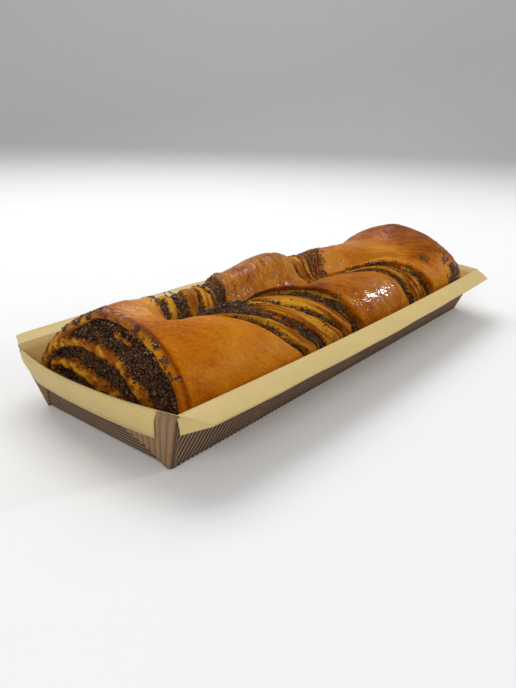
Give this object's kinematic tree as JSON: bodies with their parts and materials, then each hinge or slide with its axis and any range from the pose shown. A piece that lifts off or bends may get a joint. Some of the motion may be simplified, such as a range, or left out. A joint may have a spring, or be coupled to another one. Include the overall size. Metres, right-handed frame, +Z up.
{
  "type": "poppy seed roll",
  "caption": "Long twisted yeast roll with bands of poppy seed filling opening through its glazed crust, lying in a corrugated paper baking tray with folded cream hems.",
  "frame": {"origin": "on the surface the tray stands on, under the middle of the tray's rectangle", "axes": "+X along the roll from its cut end to its whole end, +Y across it from the front long side to the back, +Z up"},
  "size_m": [0.3312, 0.1374, 0.0612],
  "materials": {
    "baked_dough": "egg-glazed golden brown crust, paler at the torn layers",
    "poppy_paste": "moist paste of dark grey-brown poppy seed",
    "corrugated_paper": "brown corrugated outside, smooth cream inside and hems"
  },
  "bodies": {
    "root": {"dough": "baked_dough", "poppy_filling": "poppy_paste", "baking_tray": "corrugated_paper"}
  },
  "joints": []
}
